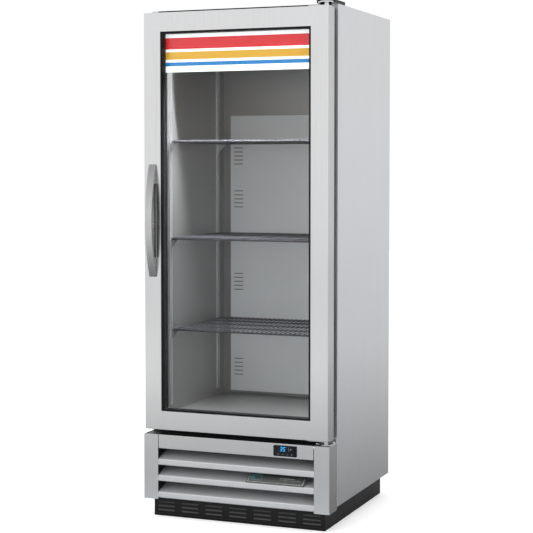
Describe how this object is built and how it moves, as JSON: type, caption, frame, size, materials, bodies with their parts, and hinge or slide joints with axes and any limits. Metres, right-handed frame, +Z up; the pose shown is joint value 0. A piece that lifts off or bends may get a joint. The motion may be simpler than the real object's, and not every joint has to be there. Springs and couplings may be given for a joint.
{
  "type": "glass door merchandiser",
  "caption": "Upright refrigerated cabinet in stainless steel: glass door with bow handle, wire shelves, louvered front grille with display, closed machine space on a black base.",
  "frame": {"origin": "on the floor, at the centre of the bounding box's base", "axes": "+Z up, +X to the customer's right, -Y towards the customer, who stands in front of the door"},
  "size_m": [0.632, 0.647, 1.631],
  "materials": {
    "stainless_side": "brushed stainless steel, fine vertical grain",
    "stainless_front": "brushed stainless steel, satin, bright",
    "stainless_louver": "brushed stainless steel, satin",
    "stainless_inner": "satin stainless steel",
    "galvanised": "galvanised sheet with a faint spangle",
    "zinc": "zinc-plated steel",
    "hinge_steel": "zinc-plated steel",
    "handle_metal": "satin cast metal",
    "liner": "clear-coated aluminium sheet",
    "white_metal": "white baked enamel",
    "fins": "aluminium fins",
    "copper": "copper tube, lightly tarnished",
    "dark_metal": "black lacquered steel",
    "black_metal": "black powder coat",
    "fan_metal": "pressed aluminium",
    "fan_plastic": "moulded nylon",
    "black_plastic": "extruded black plastic",
    "grey_plastic": "moulded grey plastic",
    "key_plastic": "moulded key caps",
    "display_black": "glossy black moulding",
    "badge": "dark enamelled plate, bright edge",
    "foam": "rigid foamed-in-place polyurethane",
    "glass": "clear tempered low-emissivity glass",
    "spacer": "black warm-edge spacer",
    "gasket": "soft magnetic door seal",
    "sign": "white acrylic sheet with three plain colour bands",
    "lens": "frosted lamp lens",
    "coated_wire": "grey plastic-coated steel wire"
  },
  "bodies": {
    "cabinet": {"side_panel_left": "stainless_side", "side_panel_right": "stainless_side", "top_panel": "galvanised", "rear_panel": "galvanised", "machine_deck": "galvanised", "foam_insulation": "foam", "inner_liner": "liner", "face_frame": "black_plastic", "shelf_standards": "stainless_inner", "shelf_clips": "zinc", "rear_duct_panel": "white_metal", "led_channel": "liner", "led_lens": "lens", "evaporator_cover": "liner", "evaporator_coil": "fins", "evaporator_motor": "dark_metal", "evaporator_fan_guard": "zinc", "drain_tube": "grey_plastic", "base_frame": "black_metal", "kick_plate": "black_metal", "grille_posts": "stainless_front", "grille_top_rail": "stainless_front", "grille_frame": "black_metal", "louver_upper": "stainless_louver", "louver_middle": "stainless_louver", "louver_lower": "stainless_louver", "name_plate": "badge", "display_bezel": "display_black", "condenser_coil": "fins", "condenser_shroud": "galvanised", "condenser_motor": "dark_metal", "compressor": "black_metal", "condensate_pan": "grey_plastic", "junction_box": "galvanised", "refrigerant_lines": "copper", "rear_guard": "galvanised", "cord_inlet": "black_plastic", "top_hinge_bracket": "hinge_steel", "top_hinge_cover": "black_plastic", "bottom_hinge_bracket": "hinge_steel", "cabinet_screws": "zinc"},
    "door": {"door_skin": "stainless_front", "door_foam": "foam", "door_inner_frame": "black_plastic", "glass_outer": "glass", "glass_inner": "glass", "glass_spacer": "spacer", "door_gasket": "gasket", "door_handle": "handle_metal", "sign_panel": "sign", "door_hinge_fittings": "hinge_steel"},
    "upper_shelf": {"shelf_upper": "coated_wire"},
    "middle_shelf": {"shelf_middle": "coated_wire"},
    "lower_shelf": {"shelf_lower": "coated_wire"},
    "evaporator_blade": {"evaporator_fan": "fan_plastic"},
    "condenser_blade": {"condenser_fan": "fan_metal"},
    "menu_key": {"display_key_menu": "key_plastic"},
    "down_key": {"display_key_down": "key_plastic"},
    "up_key": {"display_key_up": "key_plastic"},
    "power_key": {"display_key_power": "key_plastic"}
  },
  "joints": [
    {"name": "door_hinge", "type": "hinge", "parent": "cabinet", "child": "door", "pos_m": [0.294, -0.2615, 0.946], "axis": [0, 0, 1], "range_deg": [0, 110], "stiffness_Nm_per_rad": 0.8},
    {"name": "upper_shelf_lift", "type": "slide", "parent": "cabinet", "child": "upper_shelf", "axis": [0, 0, 1], "range_m": [0, 0.04]},
    {"name": "middle_shelf_lift", "type": "slide", "parent": "cabinet", "child": "middle_shelf", "axis": [0, 0, 1], "range_m": [0, 0.04]},
    {"name": "lower_shelf_lift", "type": "slide", "parent": "cabinet", "child": "lower_shelf", "axis": [0, 0, 1], "range_m": [0, 0.04]},
    {"name": "evaporator_fan_spin", "type": "hinge", "parent": "cabinet", "child": "evaporator_blade", "pos_m": [0.14, 0.0135, 1.48], "axis": [0, 0, 1], "continuous": true},
    {"name": "condenser_fan_spin", "type": "hinge", "parent": "cabinet", "child": "condenser_blade", "pos_m": [-0.07, -0.1045, 0.166], "axis": [0, 1, 0], "continuous": true},
    {"name": "menu_key_press", "type": "slide", "parent": "cabinet", "child": "menu_key", "axis": [0, 1, 0], "range_m": [0, 0.0005], "stiffness_N_per_m": 600},
    {"name": "down_key_press", "type": "slide", "parent": "cabinet", "child": "down_key", "axis": [0, 1, 0], "range_m": [0, 0.0005], "stiffness_N_per_m": 600},
    {"name": "up_key_press", "type": "slide", "parent": "cabinet", "child": "up_key", "axis": [0, 1, 0], "range_m": [0, 0.0005], "stiffness_N_per_m": 600},
    {"name": "power_key_press", "type": "slide", "parent": "cabinet", "child": "power_key", "axis": [0, 1, 0], "range_m": [0, 0.0005], "stiffness_N_per_m": 600}
  ]
}
